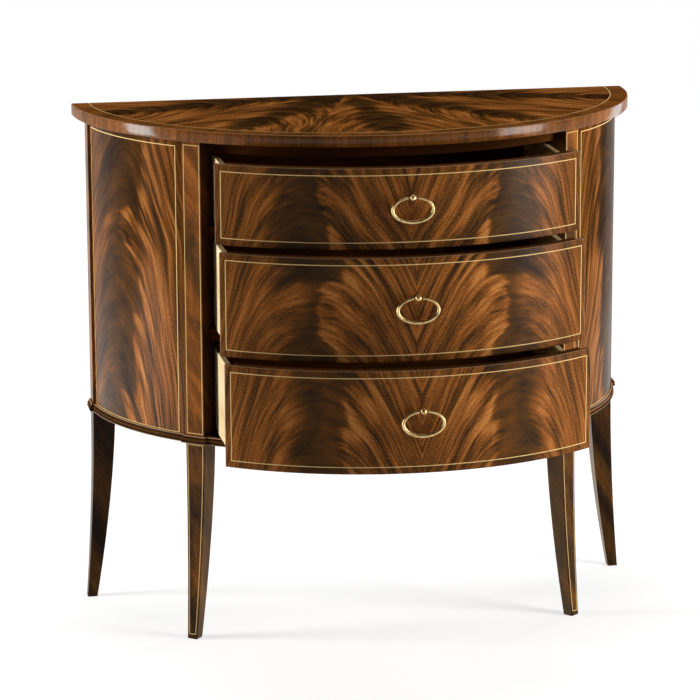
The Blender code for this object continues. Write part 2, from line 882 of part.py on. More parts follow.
def build_ring(name, frame, pull_place):
    """The oval ring, thicker at its foot, with a small pin at each end that turns in the ball."""
    start_x = ball_radius + ring_ball_gap
    first = math.asin(start_x / ring_half_width)
    raised = ring_half_height * math.cos(first)
    route = [(start_x - pin_length, 0.0, pin_radius), (start_x, 0.0, pin_radius)]
    for step in range(ring_steps + 1):
        around = first + (2 * math.pi - 2 * first) * step / ring_steps
        share = math.sin(around / 2) ** 2
        radius = ring_end_radius + (ring_low_radius - ring_end_radius) * share
        x = ring_half_width * math.sin(around)
        z = ring_half_height * math.cos(around) - raised
        route.append((x, z, radius))
    route += [(-start_x, 0.0, pin_radius), (pin_length - start_x, 0.0, pin_radius)]
    shift = joint_gap / 3
    route[2] = (start_x + shift, 0.0, route[2][2])
    route[-3] = (-start_x - shift, 0.0, route[-3][2])
    curve = bpy.data.curves.new(name + "_ring", "CURVE")
    curve.dimensions = "3D"
    curve.bevel_depth = ring_low_radius
    curve.bevel_resolution = 2
    curve.use_fill_caps = True
    spline = curve.splines.new("POLY")
    spline.points.add(len(route) - 1)
    for point, (x, z, radius) in zip(spline.points, route):
        point.co = (x, 0.0, z, 1.0)
        point.radius = radius / ring_low_radius
    ring = bpy.data.objects.new(name + "_ring", curve)
    cabinet_parts.objects.link(ring)
    curve.materials.append(materials["antique_brass"])
    ring.parent = frame
    ring.location = pull_place


def build_drawer(name, level, pull):
    """One drawer, pulled out as far as it stands open."""
    frame = add_frame(name + "_drawer", cabinet, (0.0, -pull, 0.0))
    ends = side_ends()
    pull_place = Vector((0.0, -case_depth - stand_off, level["ring"]))
    build_drawer_front(name, frame, level, ends, pull_place)
    build_drawer_sides(name, frame, level, ends)
    build_drawer_back(name, frame, level, ends)
    build_drawer_bottom(name, frame, level, ends)
    build_pull_post(name, frame, pull_place)
    build_pull_nut(name, frame, pull_place)
    build_ring(name, frame, pull_place)


clear_scene()
cabinet_parts = bpy.data.collections.new("demilune_cabinet")
cutters = bpy.data.collections.new("cutters")
bpy.context.scene.collection.children.link(cabinet_parts)
bpy.context.scene.collection.children.link(cutters)
materials = {name: make_finish(name) for name in finishes}
cabinet = add_frame("cabinet", None, (0.0, whole_depth / 2, 0.0))
build_top()
build_legs()
build_side_panels()
build_back_panel()
build_bottom_board()
build_partitions()
build_rail("top_rail", under_top - top_rail_height, under_top)
build_runners("_kicker", under_top - top_rail_height, under_top, rail_inset + rail_depth + joint_gap)
for name in ("upper", "middle"):
    rail_top = levels[name]["side"][0] - running_gap
    build_rail(name + "_divider", rail_top - rail_height, rail_top)
    build_runners(
        f"_{name}_runner", rail_top - rail_height, rail_top, rail_inset + rail_depth + joint_gap
    )
lower_top = levels["lower"]["side"][0] - running_gap
build_runners("_lower_runner", base_top + joint_gap, lower_top, rail_inset)
build_mouldings()
for name, sizes in drawers.items():
    build_drawer(name, levels[name], sizes["pull"])
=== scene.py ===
# %% [markdown]
# # A half-round cabinet in flame mahogany
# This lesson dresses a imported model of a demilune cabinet. The model already has every piece at its
# real size: the case, three bowed drawers that slide, and ring pulls that swing. Here each piece gets
# its finish: figured veneer with pale stringing, light drawer linings and antique brass. A few pieces
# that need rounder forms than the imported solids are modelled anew.

# %% Load the model
import json
import math

import bmesh
import bpy
from mathutils import Matrix, Vector


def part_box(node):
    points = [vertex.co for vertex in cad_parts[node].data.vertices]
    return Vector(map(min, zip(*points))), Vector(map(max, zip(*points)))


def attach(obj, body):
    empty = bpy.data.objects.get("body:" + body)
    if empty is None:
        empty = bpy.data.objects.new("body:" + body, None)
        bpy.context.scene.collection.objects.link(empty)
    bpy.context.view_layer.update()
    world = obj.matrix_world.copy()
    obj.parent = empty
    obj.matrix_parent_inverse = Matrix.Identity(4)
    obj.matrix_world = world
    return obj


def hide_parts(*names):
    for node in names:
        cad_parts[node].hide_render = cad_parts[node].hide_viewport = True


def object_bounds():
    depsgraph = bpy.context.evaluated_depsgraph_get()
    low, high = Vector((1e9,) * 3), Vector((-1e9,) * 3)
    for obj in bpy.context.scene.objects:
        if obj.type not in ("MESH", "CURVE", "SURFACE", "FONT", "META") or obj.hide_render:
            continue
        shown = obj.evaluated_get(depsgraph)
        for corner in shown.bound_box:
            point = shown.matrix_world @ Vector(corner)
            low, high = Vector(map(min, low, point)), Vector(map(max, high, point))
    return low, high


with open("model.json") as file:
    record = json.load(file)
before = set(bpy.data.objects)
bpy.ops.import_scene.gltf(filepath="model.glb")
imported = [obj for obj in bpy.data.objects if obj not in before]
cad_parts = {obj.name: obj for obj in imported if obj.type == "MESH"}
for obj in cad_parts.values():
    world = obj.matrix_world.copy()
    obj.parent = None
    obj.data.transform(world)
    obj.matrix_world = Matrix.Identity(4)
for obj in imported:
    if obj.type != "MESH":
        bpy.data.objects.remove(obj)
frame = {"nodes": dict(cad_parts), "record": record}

cad_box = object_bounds()
nodes = frame["nodes"]
print("nodes:", len(nodes), "box:", [list(map(float, corner)) for corner in cad_box])

# %% [markdown]
# ## The camera
# The photograph was taken from a little left of the middle and from above, with a long lens that
# keeps the upright lines nearly parallel. A camera could be aimed by trial, with a constraint or with
# turns about X, Y and Z. Here its three directions are worked out from the way it faces, so that each
# angle says one thing: how far it looks to the side, how far down, and how far it is tilted. The
# place and the angles were found by fitting the edges of the cabinet to the photograph.

# %% Camera
camera_place = Vector((-1.0291, -5.1796, 1.7226))
camera_yaw = -0.1850
camera_pitch = 0.2310
camera_roll = -0.0038
camera_lens = 168.54

ahead = Vector(
    (
        math.sin(-camera_yaw) * math.cos(camera_pitch),
        math.cos(-camera_yaw) * math.cos(camera_pitch),
        -math.sin(camera_pitch),
    )
)
rightward = Vector((math.cos(-camera_yaw), -math.sin(-camera_yaw), 0.0))
upward = rightward.cross(ahead)
camera = bpy.data.objects.new("camera", bpy.data.cameras.new("camera"))
bpy.context.scene.collection.objects.link(camera)
turned = Matrix((rightward, upward, -ahead)).transposed().to_4x4()
camera.matrix_world = Matrix.Translation(camera_place) @ turned @ Matrix.Rotation(camera_roll, 4, "Z")
camera.data.sensor_width = 36.0
camera.data.lens = camera_lens
bpy.context.scene.camera = camera
print("camera is", round(camera_place.length, 2), "m from the cabinet")

# %% [markdown]
# ## A way to write shader maths
# A procedural finish is a sum of patterns: noise, stripes, masks. Built with one node at a time it
# is long and hard to read. The class below wraps a socket, so that `a * 2 + b` adds the Math nodes
# by itself. Colours go through Mix nodes, because a Math node would turn them grey.


# %% Numbers that vary over a surface
class Wire:
    """A number, vector or colour that varies over a surface."""

    def __init__(self, finish, socket):
        self.finish = finish
        self.socket = socket

    def maths(self, operation, *values):
        return self.finish.node("Math", {"operation": operation}, dict(enumerate(values)))

    def __add__(self, other):
        return self.maths("ADD", self, other)

    def __radd__(self, other):
        return self.maths("ADD", other, self)

    def __sub__(self, other):
        return self.maths("SUBTRACT", self, other)

    def __rsub__(self, other):
        return self.maths("SUBTRACT", other, self)

    def __mul__(self, other):
        return self.maths("MULTIPLY", self, other)

    def __rmul__(self, other):
        return self.maths("MULTIPLY", other, self)

    def __truediv__(self, other):
        return self.maths("DIVIDE", self, other)

    def __pow__(self, other):
        return self.maths("POWER", self, other)

    def __neg__(self):
        return self.maths("MULTIPLY", self, -1.0)

    def __abs__(self):
        return self.maths("ABSOLUTE", self)

    def __lt__(self, other):
        return self.maths("LESS_THAN", self, other)

    def __gt__(self, other):
        return self.maths("GREATER_THAN", self, other)

    def root(self):
        return self.maths("SQRT", self)

    def rounded(self):
        return self.maths("ROUND", self)

    def sine(self):
        return self.maths("SINE", self)

    def cosine(self):
        return self.maths("COSINE", self)

    def arc_sine(self):
        return self.maths("ARCSINE", self)

    def angle_over(self, other):
        """The angle whose tangent is this number over the other."""
        return self.maths("ARCTAN2", self, other)

    def least(self, other):
        return self.maths("MINIMUM", self, other)

    def most(self, other):
        return self.maths("MAXIMUM", self, other)

    def rise(self, low, high):
        """0 below low, 1 above high, and a smooth ramp between them."""
        settings = {"interpolation_type": "SMOOTHSTEP"}
        return self.finish.node("MapRange", settings, {0: self, 1: low, 2: high, 3: 0.0, 4: 1.0})


# %% [markdown]
# A finish is a material whose nodes are added by name. One method makes any node: its settings come
# first, because they can change which sockets it has, and then the values or wires of its sockets.
# What is the same all over a surface is set on the shader itself, and only what varies is wired.


# %% Finishes
class Finish:
    """A material whose nodes are added by expressions."""

    def __init__(self, name):
        self.material = bpy.data.materials.new(name)
        self.material.use_nodes = True
        self.tree = self.material.node_tree
        self.shader = self.tree.nodes["Principled BSDF"]

    def node(self, kind, settings=None, sockets=None, output=0):
        """Adds a node: its settings first, then the values or wires of its sockets."""
        made = self.tree.nodes.new("ShaderNode" + kind)
        for name, value in (settings or {}).items():
            if name == "stops":
                self.set_stops(made.color_ramp, value)
            else:
                setattr(made, name, value)
        for name, value in (sockets or {}).items():
            self.put(value, made.inputs[name])
        return Wire(self, made.outputs[output])

    def set_stops(self, ramp, stops):
        """A new ramp has two stops, which become the first and the last. The others are added."""
        first, *between, last = stops
        for index, (place, colour) in enumerate((first, last, *between)):
            stop = ramp.elements[index] if index < 2 else ramp.elements.new(place)
            stop.position = place
            stop.color = (*colour, 1.0)

    def put(self, value, socket):
        if isinstance(value, Wire):
            self.tree.links.new(value.socket, socket)
        elif socket.type == "RGBA":
            socket.default_value = (*value, 1.0)
        else:
            socket.default_value = value

    def place(self):
        """The x, y and z of the piece's own place, in metres."""
        coordinates = self.node("TexCoord", output="Object")
        split = self.node("SeparateXYZ", sockets={0: coordinates})
        return [Wire(self, split.socket.node.outputs[index]) for index in range(3)]

    def vector(self, x, y, z):
        return self.node("CombineXYZ", sockets={0: x, 1: y, 2: z})

    def noise(self, where, scale, detail, roughness=0.5, distortion=0.0):
        sockets = {"Vector": where, "Scale": scale, "Detail": detail}
        sockets.update({"Roughness": roughness, "Distortion": distortion})
        return self.node("TexNoise", sockets=sockets)

    def swing(self, where, *shape):
        """Noise that swings about zero, so that it can be added to a tone without lifting it."""
        return self.noise(where, *shape) - 0.5

    def mix(self, share, first, second):
        """A colour between two colours."""
        return self.node("Mix", {"data_type": "RGBA"}, {0: share, 6: first, 7: second}, output=2)

    def ramp(self, value, stops):
        return self.node("ValToRGB", {"stops": stops}, {0: value})

    def finish_with(self, colour, roughness, **constants):
        self.put(colour, self.shader.inputs["Base Color"])
        self.put(roughness, self.shader.inputs["Roughness"])
        for name, value in constants.items():
            self.shader.inputs[name.replace("_", " ")].default_value = value
        return self.material


def shade(hexadecimal):
    """A colour as it looks on a screen, such as '8a5a35', turned into the linear light of a shader."""
    parts = [int(hexadecimal[index : index + 2], 16) / 255 for index in (0, 2, 4)]
    return tuple(part / 12.92 if part <= 0.04045 else ((part + 0.055) / 1.055) ** 2.4 for part in parts)


# %% [markdown]
# ## Sizes that the finishes follow
# The case is half of an oval in plan. The stringing runs at fixed distances from the edges, so the
# finishes need the same few sizes as the solids: the oval's half width and depth, the place of the
# wall, the front posts' place and turn, and how far each drawer is pulled out. The camera's sizes
# were fitted, but these are the cabinet's own. They are typed once here, and the rest is worked out.

# %% Sizes
case_half_width = 0.4577
case_depth = 0.4084
overhang = 0.0225
bow_radius = (case_half_width + case_depth) / 2
wall = cad_box[1][1]
leg_height = 0.3335
post_bearing = math.radians(43.5)
post_turn = math.radians(39.0)
post_width = 0.0354
post_proud = 0.0045
foot_width = 0.0180
foot_splay = 0.0186
splay_power = 1.85
taper_power = 1.38
string_width = 0.0013
arris_width = 0.0009
drawer_pulls = {"upper": 0.1176, "middle": 0.1594, "lower": 0.2018}
print("wall at y =", round(wall, 4), "and bow radius about", round(bow_radius, 3), "m")

# %% [markdown]
# ## Flame mahogany
# Flame or crotch veneer is cut where a trunk forks. The fibres of the two limbs meet in a spine, and
# the stripes climb one side of it, arch over and fall down the other, one arch inside the next. A
# painted image could show that, but it would blur close to and wouldn't fit each curved piece. So
# the figure here is a field of nested arches: the height along the spine plus a fall that grows with
# the distance from it. Noise that is drawn out along the arches gives the stripes, and finer noise
# gives the fibres and pores. Round the spine the wood is dark and quiet. The open grain begins at
# its ragged border with bright feathered tongues, sharply on the inner side and softly on the outer.

# %% Colours of mahogany
flame_stops = [
    (0.00, shade("1d1209")),
    (0.16, shade("352110")),
    (0.32, shade("543616")),
    (0.50, shade("7f4b1c")),
    (0.72, shade("ad672d")),
    (1.00, shade("d28c48")),
]
# Dark brown for pores and stains, also used for painted shade on several pieces.
pore_and_shade_brown = shade("25150a")
quiet_tone = 0.29
middle_tone = 0.44
plain_tone = 0.47

# %% [markdown]
# The patterns are kept in two tables. The first says how each is made: how fast it changes along an
# arch, so that a small number gives long stripes, a shift that keeps it apart from the others, and
# then the noise's scale, detail and roughness. The second says how strongly a pattern shows all over,
# how much more it shows in the open grain, and how much of that the outer side of a leaf loses. The
# last three of the first table only shape the border of the open grain.

# %% Patterns of the veneer
grain_patterns = {
    "bands": (0.35, 0.0, 38.0, 2.0, 0.5),
    "strands": (0.22, 3.1, 125.0, 3.0, 0.5),
    "fibres": (0.07, 2.6, 320.0, 2.0, 0.6),
    "clouds": (0.80, 12.0, 20.0, 3.0, 0.6),
    "ragged": (0.30, 5.7, 13.0, 3.0, 0.6),
    "feather": (0.20, 6.9, 240.0, 2.0, 0.5),
    "crossing": (0.10, 8.4, 7.0, 1.0, 0.5),
}
grain_strengths = {
    "bands": (0.46, 0.46, 0.20),
    "strands": (0.30, 0.72, 0.24),
    "fibres": (0.16, 0.40, 0.0),
    "clouds": (0.44, 0.30, 0.0),
    "speckle": (0.24, 0.80, 0.0),
}
sway_reach = 0.04
drift_reach = 0.03
ragged_reach = 0.11
feather_reach = 0.014
crossing_share = 0.9
inner_border_shares = (0.85, 1.15)
outer_border_shares = (0.75, 2.10)
tongue_border_shares = (1.1, 2.6)
open_lift = 0.19
tongue_lift = 0.20
pore_share = 0.35
print("grain patterns:", ", ".join(grain_patterns))


# %% Flame figure
def border(away, plume, shares):
    """Rises from 0 to 1 between two distances from the spine, given as shares of the plume."""
    return away.rise(plume * shares[0], plume * shares[1])


def flame_figure(finish, across, along, seed, inner, outer, plume, contrast=1.06, lighter=0.0):
    """Crotch veneer: across is the distance from the spine, and its arches climb along it.

    inner and outer say how far an arch has fallen 100 mm from the spine, and its curve's power.
    plume is half the width of the dark figure round the spine.
    """
    sway = finish.swing(finish.vector(across, along, seed), 5.0, 1.0)
    drift = finish.swing(finish.vector(across, along, seed + 7.3), 9.0, 2.0, 0.4)
    from_spine = across + sway * sway_reach
    arch = along + drift * drift_reach
    for side, (fall, power) in ((-1.0, inner), (1.0, outer)):
        arch = arch + ((from_spine * side).most(0.0) * 10.0) ** power * fall
    grain = {
        name: finish.swing(finish.vector(arch, from_spine * stretch, seed + shift), *shape)
        for name, (stretch, shift, *shape) in grain_patterns.items()
    }
    grain["speckle"] = finish.swing(finish.vector(across, along * 0.6, seed + 9.9), 720.0, 1.0)
    away = abs(from_spine) + grain["crossing"].rise(0.06, 0.15) * plume * crossing_share
    away = away + grain["ragged"] * ragged_reach + grain["feather"] * feather_reach
    outer_side = from_spine.rise(-0.004, 0.004)
    open_grain = border(away, plume, inner_border_shares) * (1.0 - outer_side)
    open_grain = open_grain + border(away, plume, outer_border_shares) * outer_side
    near_border = 1.0 - border(away, plume, tongue_border_shares)
    tongues = open_grain * near_border * grain["bands"].rise(-0.06, 0.08) * (1.0 - outer_side * 0.6)
    tone = quiet_tone + open_grain * open_lift + tongues * tongue_lift
    for name, (all_over, in_open_grain, lost_outside) in grain_strengths.items():
        strength = all_over + open_grain * in_open_grain
        if lost_outside:
            strength = strength - open_grain * outer_side * lost_outside
        tone = tone + grain[name] * strength
    tone = (tone - middle_tone) * contrast + middle_tone + lighter
    colour = finish.ramp(tone, flame_stops)
    pores = finish.noise(finish.vector(arch, from_spine * 0.10, seed + 15.0), 900.0, 1.0)
    return finish.mix(pores.rise(0.58, 0.72) * pore_share, colour, pore_and_shade_brown)


# %% Straight figure
def straight_figure(finish, across_grain, along_grain, seed):
    """Plain striped mahogany: thin streaks along the grain and short dark pores."""
    streaks = finish.swing(finish.vector(across_grain, along_grain * 0.05, seed), 110.0, 4.0, 0.6)
    broad = finish.swing(finish.vector(across_grain, along_grain * 0.3, seed + 2.0), 16.0, 3.0)
    pores = finish.swing(finish.vector(across_grain, along_grain * 0.35, seed + 4.0), 600.0, 1.0)
    return finish.ramp(plain_tone + streaks * 0.5 + broad * 0.7 + pores * 0.45, flame_stops)


# %% [markdown]
# ## Inlay and lacquer
# A string is a thin line of pale wood let into the veneer. Lines could be modelled as thin strips,
# but a string lies flush and has no thickness to see. So it is a mask on the colour: where the
# distance from the line is under half its width, there is holly instead of mahogany. All the
# veneered pieces share one clear lacquer, which is the shader's coat. It is a thin one, because the
# white floor shines back from the upright faces and a thick coat would turn them grey.


# %% Inlay and lacquer
holly = shade("fad68e")
# Pale tan for painted highlights on arrises, beads and leg sides.
highlight_tan = shade("b39472")
veneer_roughness = 0.6


def line_mask(distance, width=string_width):
    """1 within half a width of where the distance is zero, with a soft edge."""
    return 1.0 - abs(distance).rise(width * 0.42, width * 0.62)


def lacquered(finish, colour, coat=0.12, gloss=0.25):
    """Sets the polished lacquer that covers every veneered piece. Its coat may vary."""
    finish.put(coat, finish.shader.inputs["Coat Weight"])
    return finish.finish_with(colour, veneer_roughness, Coat_Roughness=gloss, Specular_IOR_Level=0.0)


# %% [markdown]
# ## Drawer fronts
# Each front has two leaves that are opened like a book, so that they mirror each other and meet in
# the middle. Each could have its own pattern, but the mirror comes free when the figure reads the
# distance from the middle without its sign. A pale string is let in about 11.5 mm inside the edges,
# and the same leaf runs on outside it, a little darker. The top and end arrises get a painted pale
# highlight. Behind the veneer the front is dark wood, darkened further with painted shade, which
# shows in the gaps between the drawers. Each front is also painted a little lighter than the one
# above it, as painted shade under the top.

# %% Drawer front finish
drawer_string_x = 0.2900
drawer_string_margin = 0.0115
drawer_half_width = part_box("upper_drawer_front")[1].x
veneer_thickness = 0.0012
bow_stretch = 1.2
leaf_spine = 0.164
leaf_plume = 0.040
drawer_border_stain = 0.25
drawer_arris_highlight = 0.5
drawer_core_shade = 0.6


def drawer_front_finish(level, seed, lighter):
    finish = Finish(f"{level}_flame_veneer")
    x, y, z = finish.place()
    low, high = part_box(f"{level}_drawer_front")
    along_bow = (x / case_half_width).arc_sine() * case_half_width
    across = abs(along_bow) - leaf_spine
    inner, outer = (0.085, 2.0), (0.090, 2.4)
    colour = flame_figure(finish, across, z, seed, inner, outer, leaf_plume, lighter=lighter)
    middle = (low.z + high.z) / 2
    beside = (abs(x) - drawer_string_x) * bow_stretch
    above = abs(z - middle) - ((high.z - low.z) / 2 - drawer_string_margin)
    from_string = beside.most(above)
    colour = finish.mix((from_string > 0.0) * drawer_border_stain, colour, pore_and_shade_brown)
    colour = finish.mix(line_mask(from_string), colour, holly)
    front_y = y - (wall - drawer_pulls[level])
    oval = ((x / case_half_width) ** 2.0 + (front_y / case_depth) ** 2.0).root()
    inside = (1.0 - oval) * case_depth
    # Painted highlight: the top and end arrises are painted paler.
    arris = (z > high.z - arris_width).most(abs(x) > drawer_half_width - arris_width)
    colour = finish.mix(arris * drawer_arris_highlight, colour, highlight_tan)
    core = straight_figure(finish, z, along_bow, seed + 40.0)
    # Painted shade: the core, which shows in the gaps between drawers, is darkened.
    core = finish.mix(drawer_core_shade, core, pore_and_shade_brown)
    return lacquered(finish, finish.mix(inside > veneer_thickness, colour, core))


# %% [markdown]
# ## Rounder copies of the curved solids
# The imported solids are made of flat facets, and a polished curve shows each one. Each curved piece
# could be modelled again, but its edges are already right. So a copy is merged into one skin, and
# its faces are shaded smooth wherever they meet at a small angle, while the arrises stay crisp. It
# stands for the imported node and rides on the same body.


# %% Smooth copies
smooth_angle = math.radians(30.0)


def only(piece):
    """Deselects everything, then selects one piece and makes it active."""
    bpy.ops.object.select_all(action="DESELECT")
    piece.select_set(True)
    bpy.context.view_layer.objects.active = piece


def body_of(node):
    bodies = frame["record"]["behaviour"]["bodies"]
    return next(body for body, members in bodies.items() if node in members)


def smooth_copy(node, name, material):
    """A merged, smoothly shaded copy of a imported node, which replaces it."""
    piece = bpy.data.objects.new(name, nodes[node].data.copy())
    bpy.context.scene.collection.objects.link(piece)
    only(piece)
    bpy.ops.object.mode_set(mode="EDIT")
    bpy.ops.mesh.select_all(action="SELECT")
    bpy.ops.mesh.remove_doubles(threshold=0.00001)
    bpy.ops.mesh.customdata_custom_splitnormals_clear()
    bpy.ops.object.mode_set(mode="OBJECT")
    bpy.ops.object.shade_smooth_by_angle(angle=smooth_angle)
    return stand_for(piece, node, material)


def stand_for(piece, node, material):
    piece.data.materials.clear()
    piece.data.materials.append(material)
    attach(piece, body_of(node))
    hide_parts(node)
    return piece


for index, level in enumerate(drawer_pulls):
    # Each front is painted a little lighter than the one above it: painted shade under the top.
    veneer = drawer_front_finish(level, 11.0 + 17.0 * index, index * 0.042 - 0.028)
    piece = smooth_copy(f"{level}_drawer_front", f"{level}_veneered_front", veneer)
    print(piece.name, len(piece.data.polygons), "faces")

# %% [markdown]
# ## Side panels
# Each curved panel is one leaf with a broad, dark plume, whose spine leans a little as it climbs,
# and a string all round. A flat picture of a leaf would be squeezed where the panel turns away to
# the wall, so the figure is laid along the bow by its bearing. The borders are measured from the
# planes where the panel meets the front post and the rear one. The colour is painted darker towards
# the top, where less sheen lies, and darker on the right panel, as painted shade. A dark line along
# the front post is a painted shadow. The coat is thicker low down and towards the wall, where the
# photograph shows more sheen.

# %% Side panel finish
post_out = Vector((math.sin(post_turn), -math.cos(post_turn)))
post_along = Vector((math.cos(post_turn), math.sin(post_turn)))


def bow(bearing, proud=0.0):
    """Plan point of the half-round case at a bearing from the front."""
    x = case_half_width * math.sin(bearing)
    y = -case_depth * math.cos(bearing)
    outward = Vector((x / case_half_width**2, y / case_depth**2)).normalized()
    return Vector((x, y + wall)) + outward * proud


post_face = bow(post_bearing, post_proud)
rear_post_front = 0.048
panel_string_margin = 0.0168
panel_rear_margin = 0.0075
panel_string_low = 0.3470
panel_string_high = 0.8275
panel_middle = (panel_string_low + panel_string_high) / 2
panel_spine = math.radians(68.0) * bow_radius
panel_lean = 0.12
panel_plume = 0.062
post_shadow_width = 0.0016
panel_darkening = {"left": 0.13, "right": 0.28}
panel_top_shade = 0.22
panel_border_stain = 0.2
post_shadow_share = 0.7
panel_coat, coat_lost_above, coat_by_wall = 0.25, 0.24, 0.34
sheen_start, sheen_end = math.radians(60.0), math.radians(77.0)


def side_panel_finish(side, seed):
    finish = Finish(f"{side}_panel_flame_veneer")
    x, y, z = finish.place()
    out_x = abs(x)
    back = wall - y
    bearing = (out_x / case_half_width).angle_over(back / case_depth)
    across = bearing * bow_radius - panel_spine + (z - panel_middle) * panel_lean
    inner, outer = (0.11, 2.2), (0.11, 1.8)
    colour = flame_figure(finish, across, z, seed, inner, outer, panel_plume)
    # Painted shade: darker towards the top, and darker on the right panel than the left.
    stain_and_shade = z.rise(panel_middle - 0.1, panel_middle + 0.2) * panel_top_shade + panel_darkening[side]
    colour = finish.mix(stain_and_shade, colour, pore_and_shade_brown)
    from_post = (out_x - post_face.x) * post_along.x + (y - post_face.y) * post_along.y - post_width / 2
    from_rear = back - rear_post_front
    ends = (panel_string_margin - from_post).most(panel_rear_margin - from_rear)
    above = abs(z - panel_middle) - (panel_string_high - panel_string_low) / 2
    from_string = ends.most(above)
    colour = finish.mix((from_string > 0.0) * panel_border_stain, colour, pore_and_shade_brown)
    colour = finish.mix(line_mask(from_string), colour, holly)
    # Painted shadow: a dark line along the front post's edge.
    colour = finish.mix((from_post < post_shadow_width) * post_shadow_share, colour, pore_and_shade_brown)
    coat = panel_coat - z.rise(panel_string_low, panel_middle + 0.1) * coat_lost_above
    return lacquered(finish, colour, coat + bearing.rise(sheen_start, sheen_end) * coat_by_wall)


for index, side in enumerate(("left", "right")):
    veneer = side_panel_finish(side, 71.0 + 9.0 * index)
    piece = smooth_copy(f"{side}_side_panel", f"{side}_veneered_panel", veneer)
    print(piece.name, len(piece.data.polygons), "faces")

# %% [markdown]
# ## Posts and legs
# A post and its leg are one piece. Down the outer face of each front one runs a pair of strings,
# which closes above the foot. The leg tapers and sweeps outwards, so a string at a fixed x would
# cross its edge. The distance to the edge is worked out instead, with the same two curves that
# shaped the leg. The sides that face the drawers are darkened with painted shade, and the others
# are painted a little paler than the outer face, as painted light. On a rear leg the two sides that
# face left and right shine more than the front does, so their coat is thicker, and the inner one
# has a painted pale highlight.


# %% Leg finish
leg_tone = 0.47
leg_darkening = {"front": 0.19, "rear": 0.30}
leg_string_margin = 0.0032
leg_string_top = leg_height - 0.0030
foot_string = 0.0085
post_string_low = 0.3500
post_string_top = 0.8320
face_depth = 0.0013
shade_overlap = 0.0008
in_case_shade = 0.88
bare_side_light = 0.20
inner_side_highlight = 0.55
leg_string_share = 0.75
front_leg_coat, rear_leg_coat, square_side_coat = 0.16, 0.12, 0.45


def leg_wood(finish, place, end, seed):
    """Quieter mahogany than the flame, with slanting clouds, and darker below the case."""
    x, y, z = place
    clouds = finish.swing(finish.vector(x * 0.8 + z * 0.45, y * 0.8, seed + 1.0), 22.0, 3.0, 0.6, 0.6)
    streaks = finish.swing(finish.vector(x, y, z * 0.10 + seed), 120.0, 3.0, 0.6)
    speckle = finish.swing(finish.vector(x, y, z * 0.5 + seed), 620.0, 1.0)
    below = 1.0 - z.rise(leg_height - 0.012, leg_height + 0.012)
    tone = leg_tone + clouds * 1.2 + streaks * 0.30 + speckle * 0.40 - below * leg_darkening[end]
    return finish.ramp(tone, flame_stops)


def front_leg_finish(side, seed):
    finish = Finish(f"{side}_front_leg_veneer")
    x, y, z = finish.place()
    colour = leg_wood(finish, (x, y, z), "front", seed)
    from_face_x, from_face_y = abs(x) - post_face.x, y - post_face.y
    sideways = from_face_x * post_along.x + from_face_y * post_along.y
    outward = from_face_x * post_out.x + from_face_y * post_out.y
    in_case = (z > leg_height) * (sideways < -post_width / 2 + shade_overlap)
    down = (1.0 - z / leg_height).most(0.0)
    half = post_width / 2 * (1.0 - down**taper_power * (1 - foot_width / post_width))
    edge = abs(sideways) - (half - leg_string_margin)
    lower = (foot_string - z).most(z - leg_string_top)
    upper = (post_string_low - z).most(z - post_string_top)
    on_face = outward - down**splay_power * foot_splay > -face_depth
    # Painted light: the side faces that face no drawer are paler.
    colour = finish.mix((1.0 - on_face) * (1.0 - in_case) * bare_side_light, colour, highlight_tan)
    string = line_mask(edge.most(lower.least(upper))) * on_face
    colour = finish.mix(string * leg_string_share, colour, holly)
    # Painted shade: the sides that face the drawers are darkened.
    return lacquered(finish, finish.mix(in_case * in_case_shade, colour, pore_and_shade_brown), front_leg_coat)


def rear_leg_finish(side, seed):
    finish = Finish(f"{side}_rear_leg_veneer")
    x, y, z = finish.place()
    colour = leg_wood(finish, (x, y, z), "rear", seed)
    facing = finish.node("SeparateXYZ", sockets={0: finish.node("TexCoord", output="Normal")})
    square_side = abs(facing).rise(0.75, 0.95)
    # Painted highlight: the inner side of a rear leg is paler.
    inner_side = (x * facing < 0.0) * square_side
    colour = finish.mix(inner_side * inner_side_highlight, colour, highlight_tan)
    return lacquered(finish, colour, square_side * square_side_coat + rear_leg_coat)


# %% Legs
for index, side in enumerate(("left", "right")):
    seed = 101.0 + 13.0 * index
    veneers = {"front": front_leg_finish(side, seed + 5.0), "rear": rear_leg_finish(side, seed)}
    for end, veneer in veneers.items():
        piece = smooth_copy(f"{side}_{end}_leg", f"{side}_{end}_veneered_leg", veneer)
        print(piece.name, len(piece.data.polygons), "faces")

# %% [markdown]
# ## The top
# The half-round top is laid in leaves of flame that radiate from the middle of its back edge. A
# string runs 30 mm inside the curved edge, outside it lies a border whose grain points outwards, and
# the curved edge itself is lipped with short grain. A smooth copy would do for the slab's shape, but
# this edge is polished and in full view. So the slab is modelled anew, with more facets and a rounder
# arris: a circle is drawn out to the oval, cut in half at the wall, and pulled up into a board.

# %% Top board
top_low, top_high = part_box("top_board")
top_segments = 288
top_round = 0.0016

bpy.ops.object.select_all(action="DESELECT")
bpy.ops.mesh.primitive_circle_add(
    vertices=top_segments, radius=1.0, fill_type="NGON", location=(0.0, wall, top_low.z)
)
top = bpy.context.active_object
top.name = "veneered_top"
bpy.ops.object.mode_set(mode="EDIT")
bpy.ops.mesh.select_all(action="SELECT")
bpy.ops.transform.resize(
    value=(top_high.x, top_high.y - top_low.y, 1.0), center_override=(0.0, wall, top_low.z)
)
bpy.ops.mesh.bisect(plane_co=(0.0, wall, top_low.z), plane_no=(0.0, 1.0, 0.0), clear_outer=True)
bpy.ops.mesh.select_all(action="SELECT")
bpy.ops.mesh.extrude_region_move(TRANSFORM_OT_translate={"value": (0.0, 0.0, top_high.z - top_low.z)})
bpy.ops.mesh.select_all(action="SELECT")
bpy.ops.mesh.normals_make_consistent(inside=False)
bpy.ops.object.mode_set(mode="OBJECT")
bpy.ops.object.transform_apply(location=True, rotation=True, scale=True)
arris = top.modifiers.new("round_arris", "BEVEL")
arris.width = top_round
